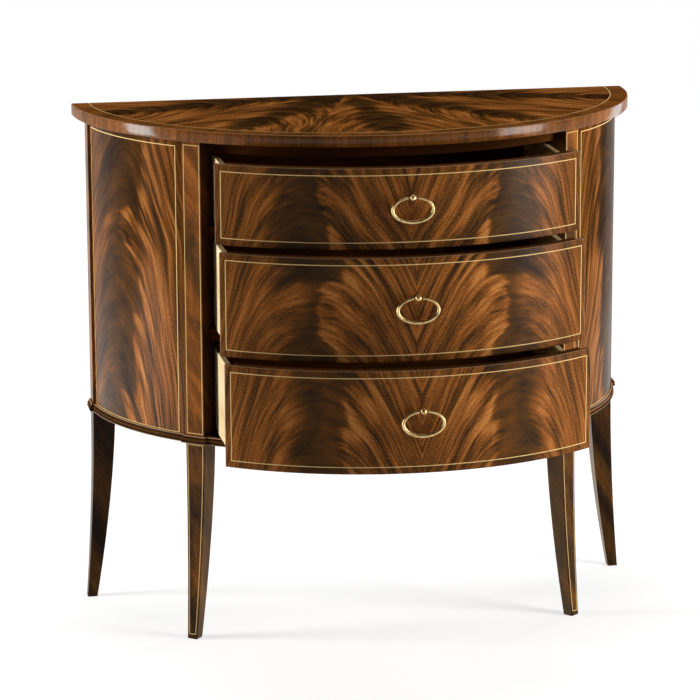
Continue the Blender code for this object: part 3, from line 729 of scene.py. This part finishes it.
arris.segments = 3
arris.limit_method = "ANGLE"
arris.angle_limit = math.radians(40)
bpy.ops.object.modifier_apply(modifier=arris.name)
bpy.ops.object.shade_smooth_by_angle(angle=smooth_angle)

# %% [markdown]
# The leaves are wedges, each mirrored about its spine. The angle round the back's middle is divided
# by the angle between two spines and rounded, which tells each point which leaf it is in. How far it
# is off that leaf's spine then gives the figure's two distances. The top face hardly shines, while
# its lipped edge catches the lamps, so the coat is thin above and thick at the edge.

# %% Top finish
top_half_width = case_half_width + overhang
top_depth = case_depth + overhang
top_string_margin = 0.0300
top_band_radius = 0.44
top_leaf_angle = math.radians(36.0)
top_leaf_shift = 0.37
top_centre_back = 0.02
top_plume = 0.022
top_contrast = 1.45
top_arris_highlight = 0.45
face_coat, edge_coat = 0.02, 0.40


def top_distances(x, back):
    """The distance from the curved edge, and the bearing from the front."""
    across = x / top_half_width
    inward = back / top_depth
    oval = (across * across + inward * inward).root()
    steep = ((across / top_half_width) ** 2.0 + (inward / top_depth) ** 2.0).root() / oval.most(0.05)
    return (1.0 - oval) / steep.most(0.5), across.angle_over(inward)


def top_finish():
    finish = Finish("top_flame_veneer")
    x, y, z = finish.place()
    back = wall - y
    from_centre = back + top_centre_back
    radius = (x * x + from_centre**2.0).root()
    turn = abs(x).angle_over(from_centre)
    leaf = (turn / top_leaf_angle).rounded()
    off_spine = turn - leaf * top_leaf_angle
    across = abs(radius * off_spine.sine())
    along = -(radius * off_spine.cosine()) + leaf * top_leaf_shift
    inner, outer = (0.0, 1.0), (0.14, 1.7)
    colour = flame_figure(finish, across, along, 143.0, inner, outer, top_plume, top_contrast)
    from_edge, bearing = top_distances(x, back)
    along_edge = bearing * top_band_radius
    band = straight_figure(finish, along_edge, from_edge, 151.0)
    colour = finish.mix(from_edge < top_string_margin, colour, band)
    colour = finish.mix(line_mask(from_edge - top_string_margin), colour, holly)
    lipping = straight_figure(finish, along_edge, z, 163.0)
    colour = finish.mix(from_edge < arris_width, colour, lipping)
    back_lipping = straight_figure(finish, z * 0.6, x, 167.0)
    below_face = z < top_high.z - arris_width
    colour = finish.mix((back < arris_width) * below_face, colour, back_lipping)
    # Painted highlight: the top's front arris is painted paler.
    on_arris = (z > top_high.z - arris_width) * (from_edge < top_round)
    colour = finish.mix(on_arris * top_arris_highlight, colour, highlight_tan)
    coat = (z > top_high.z - arris_width / 2) * (face_coat - edge_coat) + edge_coat
    return lacquered(finish, colour, coat, gloss=0.14)


stand_for(top, "top_board", top_finish())
print("top:", len(top.data.polygons), "faces")

# %% [markdown]
# ## Mouldings
# The base moulding is solid mahogany, stained dark. Its profile is already in the solids, so smooth
# copies do. Its hollows are darkened with painted shade and its beads get painted highlights, as
# stripes at shares of its height.


# %% Moulding finish
moulding_height = 0.0132
hollow_shares = ((0.20, 0.16), (0.74, 0.14))
bead_shares = ((0.06, 0.10), (0.90, 0.10))
moulding_stain, hollow_shade, bead_highlight = 0.40, 0.55, 0.75


def stripes(share, shares):
    """1 on two stripes along the moulding, each given by its middle and its width."""
    first, second = (line_mask(share - middle, width) for middle, width in shares)
    return first.most(second)


def moulding_finish():
    finish = Finish("moulding_mahogany")
    x, y, z = finish.place()
    colour = straight_figure(finish, z, x + y, 171.0)
    share = (z - leg_height) / moulding_height
    # Painted shade in the hollows of the moulding, and painted highlights on its beads.
    stain_and_shade = stripes(share, hollow_shares) * hollow_shade + moulding_stain
    colour = finish.mix(stain_and_shade, colour, pore_and_shade_brown)
    return lacquered(finish, finish.mix(stripes(share, bead_shares) * bead_highlight, colour, highlight_tan))


moulding_material = moulding_finish()
moulding_places = ["front"]
for part in ("post", "side", "rear"):
    moulding_places += [f"left_{part}", f"right_{part}"]
for name in moulding_places:
    smooth_copy(f"{name}_moulding", f"{name}_polished_moulding", moulding_material)
print("mouldings:", len(moulding_places))

# %% [markdown]
# ## Inside the case
# The rails, partitions and runners are secondary wood with an open, duller surface, stained very
# dark, which also paints in the shade inside the case. The back panel and the drawers' backs are a
# lighter brown. The drawers' sides and bottoms are pale maple, whose grain runs from front to back.
# These pieces are flat and keep their imported solids, so each only has its material exchanged. The
# loop takes every node that nothing stands for yet. The packed pulls are among them until their
# brass copies replace them further on.


# %% Inner woods
# A dark brown that serves as stain and as painted shade inside the case.
inner_stain_shade_brown = shade("2b140a")
maple_stops = [(0.10, shade("cfa974")), (0.50, shade("e6cf9f")), (0.90, shade("f3e2bf"))]


def inner_finish(name, stain_and_shade):
    finish = Finish(name)
    x, y, z = finish.place()
    colour = straight_figure(finish, z, x * 0.7 + y * 0.7, 181.0)
    return finish.finish_with(finish.mix(stain_and_shade, colour, inner_stain_shade_brown), 0.6, Specular_IOR_Level=0.0)


def maple_finish():
    """Light drawer linings: pale cream with faint grain from front to back and a satin surface."""
    finish = Finish("maple_linings")
    x, y, z = finish.place()
    grain = finish.swing(finish.vector(x, y * 0.06, z), 150.0, 4.0, 0.6, 0.3)
    broad = finish.swing(finish.vector(x, y * 0.2, z + 4.0), 22.0, 3.0)
    flecks = finish.swing(finish.vector(x, y * 0.3, z + 8.0), 600.0, 1.0)
    colour = finish.ramp(0.5 + grain * 0.7 + broad * 1.0 + flecks * 0.25, maple_stops)
    return finish.finish_with(colour, 0.6, Specular_IOR_Level=0.1)


# Painted shade: the case wood is stained very dark, which also stands for the shade inside the case.
shaded_case_material = inner_finish("stained_shaded_case_wood", 0.75)
back_material = inner_finish("stained_backs", 0.30)
maple_material = maple_finish()
for name, node in nodes.items():
    if node.hide_render:
        continue
    backing = name.endswith("_back") or name == "back_panel"
    lining = "_drawer_" in name and not backing
    stained = back_material if backing else shaded_case_material
    node.data.materials.clear()
    node.data.materials.append(maple_material if lining else stained)
    print(name, "is", node.data.materials[0].name)


# %% [markdown]
# ## Brass pulls
# Antique brass is yellow metal under a thin brown film, which is worn unevenly by fingers. A plain
# yellow metal would look new. Here a soft noise says how far the film is worn: where it is high,
# the metal shows paler, and fine scratches make it less shiny.


# %% Brass
brass_stops = [(0.35, shade("ac8850")), (0.50, shade("d3b57c")), (0.70, shade("ecd3a0"))]


def brass_finish():
    finish = Finish("antique_brass")
    x, y, z = finish.place()
    wear = finish.noise(finish.vector(x, y, z), 170.0, 4.0, 0.6)
    return finish.finish_with(finish.ramp(wear, brass_stops), wear * 0.16 + 0.30, Metallic=1.0)


brass_material = brass_finish()

# %% [markdown]
# ## A ring pull
# The ring is an oval rod that is thickest at its foot and ends in two small pins, which turn in the
# ball of the post. A torus would be closed and equally thick all round. So it is made step by step: a
# circle of points is stood up and squashed to an oval, the points at the ball are deleted, and the line
# that is left becomes a curve with a thickness. Its flat ends are then drawn in and out into pins.

# %% Ring sizes
ball_radius = 0.0056
ring_half_width = 0.0326
ring_half_height = 0.0198
ring_end_radius = 0.0021
ring_low_radius = 0.0034
ring_ball_gap = 0.0007
pin_radius = 0.0011
pin_length = 0.0034
ring_points = 144
ring_start = ball_radius + ring_ball_gap
ring_first = math.asin(ring_start / ring_half_width)
ring_raised = ring_half_height * math.cos(ring_first)

# %% Ring
def pick(piece, kind, wanted):
    """Selects the faces, edges or points of a piece, in edit mode, that a test on their middle wants."""
    bpy.ops.mesh.select_all(action="DESELECT")
    bpy.ops.mesh.select_mode(type=kind)
    skin = bmesh.from_edit_mesh(piece.data)
    parts = {"VERT": skin.verts, "EDGE": skin.edges, "FACE": skin.faces}[kind]
    for part in parts:
        if kind == "VERT":
            middle = part.co
        else:
            middle = sum((point.co for point in part.verts), Vector()) / len(part.verts)
        part.select = wanted(middle, part)
    skin.select_flush_mode()
    bmesh.update_edit_mesh(piece.data)


def make_ring():
    bpy.ops.object.select_all(action="DESELECT")
    bpy.ops.mesh.primitive_circle_add(
        vertices=ring_points, radius=ring_half_width, rotation=(math.pi / 2, 0.0, 0.0)
    )
    ring = bpy.context.active_object
    bpy.ops.object.transform_apply(location=True, rotation=True, scale=True)
    bpy.ops.object.mode_set(mode="EDIT")
    bpy.ops.mesh.select_all(action="SELECT")
    flatter = ring_half_height / ring_half_width
    bpy.ops.transform.resize(value=(1.0, 1.0, flatter), center_override=(0.0, 0.0, 0.0))
    bpy.ops.transform.translate(value=(0.0, 0.0, -ring_raised))
    pick(ring, "VERT", lambda middle, part: abs(middle.x) < ring_start and middle.z > -ring_raised)
    bpy.ops.mesh.delete(type="VERT")
    bpy.ops.object.mode_set(mode="OBJECT")
    bpy.ops.object.convert(target="CURVE")
    ring = bpy.context.active_object
    ring.data.bevel_depth = ring_low_radius
    ring.data.bevel_resolution = 7
    ring.data.use_fill_caps = True
    for point in ring.data.splines[0].points:
        share = 0.5 - (point.co.z + ring_raised) / ring_half_height / 2
        radius = ring_end_radius + (ring_low_radius - ring_end_radius) * share
        point.radius = radius / ring_low_radius
    bpy.ops.object.convert(target="MESH")
    ring = bpy.context.active_object
    bpy.ops.object.mode_set(mode="EDIT")
    bpy.ops.mesh.select_all(action="SELECT")
    bpy.ops.mesh.remove_doubles(threshold=0.00001)
    bpy.ops.mesh.normals_make_consistent(inside=False)
    for side in (-1, 1):
        pick(ring, "FACE", lambda middle, part: len(part.verts) > 4 and middle.x * side > 0)
        bpy.ops.mesh.inset(thickness=ring_end_radius - pin_radius)
        bpy.ops.mesh.extrude_region_move(TRANSFORM_OT_translate={"value": (-side * pin_length, 0.0, 0.0)})
    bpy.ops.object.mode_set(mode="OBJECT")
    bpy.ops.object.shade_smooth_by_angle(angle=math.radians(40))
    return ring

# %% [markdown]
# ## A turned post
# The post could be one outline that is spun round, but its ball is a plain sphere, so it starts as
# one, with its axis pointing out of the drawer. The cap that faces the drawer is cut away, and the
# open edge is drawn inwards and outwards again into a neck, a small rose that sits on the veneer,
# and the stem that runs through the front.

# %% Post
neck_radius = 0.0026
rose_radius = 0.0038
rose_thickness = 0.0020
stand_off = 0.0130
stem_radius = 0.0020
ball_segments = 40
ball_rings = 24
joint_gap = 0.0003


def make_post(stem_length):
    bpy.ops.object.select_all(action="DESELECT")
    bpy.ops.mesh.primitive_uv_sphere_add(
        segments=ball_segments, ring_count=ball_rings, radius=ball_radius, rotation=(math.pi / 2, 0.0, 0.0)
    )
    post = bpy.context.active_object
    bpy.ops.object.transform_apply(location=True, rotation=True, scale=True)
    bpy.ops.object.mode_set(mode="EDIT")
    pick(post, "VERT", lambda middle, part: middle.y > 0 and math.hypot(middle.x, middle.z) < neck_radius)
    bpy.ops.mesh.delete(type="VERT")
    face = stand_off - joint_gap
    profile = [
        (neck_radius, face - rose_thickness * 1.3),
        (neck_radius * 1.15, face - rose_thickness),
        (rose_radius * 0.92, face - rose_thickness * 0.75),
        (rose_radius, face - rose_thickness * 0.4),
        (rose_radius, face),
        (stem_radius, face),
        (stem_radius, stem_length),
    ]
    pick(post, "EDGE", lambda middle, part: part.is_boundary)
    skin = bmesh.from_edit_mesh(post.data)
    edge_point = next(point for point in skin.verts if point.select)
    radius, place = math.hypot(edge_point.co.x, edge_point.co.z), edge_point.co.y
    for wide, along in profile:
        bpy.ops.mesh.extrude_edges_move(TRANSFORM_OT_translate={"value": (0.0, along - place, 0.0)})
        share = wide / radius
        bpy.ops.transform.resize(value=(share, 1.0, share), center_override=(0.0, along, 0.0))
        radius, place = wide, along
    bpy.ops.mesh.edge_face_add()
    bpy.ops.mesh.select_all(action="SELECT")
    bpy.ops.mesh.normals_make_consistent(inside=False)
    bpy.ops.object.mode_set(mode="OBJECT")
    bpy.ops.object.shade_smooth_by_angle(angle=math.radians(35))
    return post

# %% [markdown]
# Each pull is modelled once, round its ball's middle. Every drawer then gets a copy with its own
# mesh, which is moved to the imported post's place and keeps that place in its mesh. The nut on the
# stem, inside the drawer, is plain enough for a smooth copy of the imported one.

# %% Pulls on the drawers
def set_at(model, name, place):
    """A copy of a model with its own mesh, set at a place that is then applied to its mesh."""
    piece = bpy.data.objects.new(name, model.data.copy())
    bpy.context.scene.collection.objects.link(piece)
    piece.location = place
    only(piece)
    bpy.ops.object.transform_apply(location=True, rotation=True, scale=True)
    return piece


post_low, post_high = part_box("upper_pull_post")
ring_model = make_ring()
post_model = make_post(post_high.y - post_low.y - ball_radius)
for level in drawer_pulls:
    post_low, post_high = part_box(f"{level}_pull_post")
    ball = Vector((0.0, post_low.y + ball_radius, (post_low.z + post_high.z) / 2))
    post = set_at(post_model, f"{level}_turned_post", ball)
    stand_for(post, f"{level}_pull_post", brass_material)
    ring = set_at(ring_model, f"{level}_oval_ring", ball)
    stand_for(ring, f"{level}_ring", brass_material)
    smooth_copy(f"{level}_pull_nut", f"{level}_brass_nut", brass_material)
    sides = [round(side, 4) for side in ring.dimensions]
    print(level, "ring", sides, "m, post", len(post.data.polygons), "faces")
for model in (ring_model, post_model):
    bpy.data.objects.remove(model)

# %% [markdown]
# ## Studio
# The photograph has a pure white ground on which only faint shadows of the legs lie. A white sheet
# under stronger lamps would do, but it would light the cabinet from below. So the floor is a light
# grey sheet that glows white, only for the camera and in reflections. Near the legs it glows less,
# which lets the shadows show, and far away it reaches plain white.

# %% Floor
near_floor, far_floor = 0.8, 4.0
near_glow, far_glow = 0.63, 0.985
sheet_grey = (0.60, 0.60, 0.60)
bpy.ops.object.select_all(action="DESELECT")
bpy.ops.mesh.primitive_plane_add(size=40.0, location=(0.0, 0.0, 0.0))
floor = bpy.context.active_object
floor.name = "studio_floor"
floor_finish = Finish("studio_white")
floor_finish.finish_with(sheet_grey, 0.9, Specular_IOR_Level=0.0)
paths = floor_finish.node("LightPath").socket.node
kinds = ("Camera", "Glossy", "Transmission")
rays = [Wire(floor_finish, paths.outputs[f"Is {kind} Ray"]) for kind in kinds]
seen = (rays[0] + rays[1] + rays[2]).least(1.0)
floor_x, floor_y = floor_finish.place()[:2]
distance = (floor_x * floor_x + floor_y * floor_y).root()
strength = distance.rise(near_floor, far_floor) * (far_glow - near_glow) + near_glow
glow = floor_finish.node("Emission", sockets={"Color": (1.0, 1.0, 1.0), "Strength": seen * strength})
joined = floor_finish.node("AddShader", sockets={0: glow})
floor_finish.tree.links.new(floor_finish.shader.outputs[0], joined.socket.node.inputs[1])
output = floor_finish.tree.nodes["Material Output"]
floor_finish.tree.links.new(joined.socket, output.inputs["Surface"])
floor.data.materials.append(floor_finish.material)
print("floor:", [round(side) for side in floor.dimensions[:2]], "m")

# %% [markdown]
# The world adds only a dim grey, which keeps the polished top dark: the background's own colour stays
# the dark grey that a new world has. It is a little lighter in a low band all round than in the sky
# above. The white behind the cabinet is the floor, so a camera near the floor would see this grey
# beyond its far edge.

# %% World
band_end, sky_start = 0.11, 0.15
band_strength, sky_strength = 1.0, 0.22
world = bpy.data.worlds.new("studio")
bpy.context.scene.world = world
world.use_nodes = True
tree = world.node_tree
direction = tree.nodes.new("ShaderNodeTexCoord")
parts = tree.nodes.new("ShaderNodeSeparateXYZ")
tree.links.new(direction.outputs["Generated"], parts.inputs[0])
band_to_sky = tree.nodes.new("ShaderNodeMapRange")
band_to_sky.interpolation_type = "SMOOTHSTEP"
heights = {"From Min": band_end, "From Max": sky_start, "To Min": band_strength, "To Max": sky_strength}
for name, value in heights.items():
    band_to_sky.inputs[name].default_value = value
tree.links.new(parts.outputs["Z"], band_to_sky.inputs["Value"])
tree.links.new(band_to_sky.outputs[0], tree.nodes["Background"].inputs["Strength"])

# %% [markdown]
# Four soft boxes light the cabinet. Two tall ones stand low at the right front and at the left, and
# give the bright bands on the bow. A weak one behind on the right draws the edge of the side panel,
# and one overhead, a little behind, lights the top. Each is aimed at the case's middle.


# %% Lamps
lamp_target = Vector((0.0, 0.0, 0.55))


def soft_light(name, bearing, distance, height, size, power):
    """A soft box at a bearing in degrees from the front, aimed at the middle of the case."""
    turn = math.radians(bearing)
    place = Vector((math.sin(turn) * distance, -math.cos(turn) * distance, height))
    lamp = bpy.data.lights.new(name, "AREA")
    lamp.shape = "RECTANGLE"
    lamp.size, lamp.size_y = size
    lamp.energy = power
    light = bpy.data.objects.new(name, lamp)
    bpy.context.scene.collection.objects.link(light)
    light.location = place
    light.rotation_euler = (lamp_target - place).to_track_quat("-Z", "Y").to_euler()
    print(name, "stands", round(place.length, 2), "m away")


soft_light("right_softbox", bearing=62.0, distance=3.0, height=1.10, size=(1.1, 2.0), power=88.0)
soft_light("left_softbox", bearing=-98.0, distance=2.8, height=0.85, size=(0.7, 1.6), power=74.0)
soft_light("right_rim", bearing=126.0, distance=2.8, height=0.80, size=(0.7, 1.4), power=15.0)
soft_light("overhead", bearing=180.0, distance=0.9, height=3.3, size=(1.6, 1.6), power=34.0)

bpy.context.scene.view_settings.view_transform = "Standard"
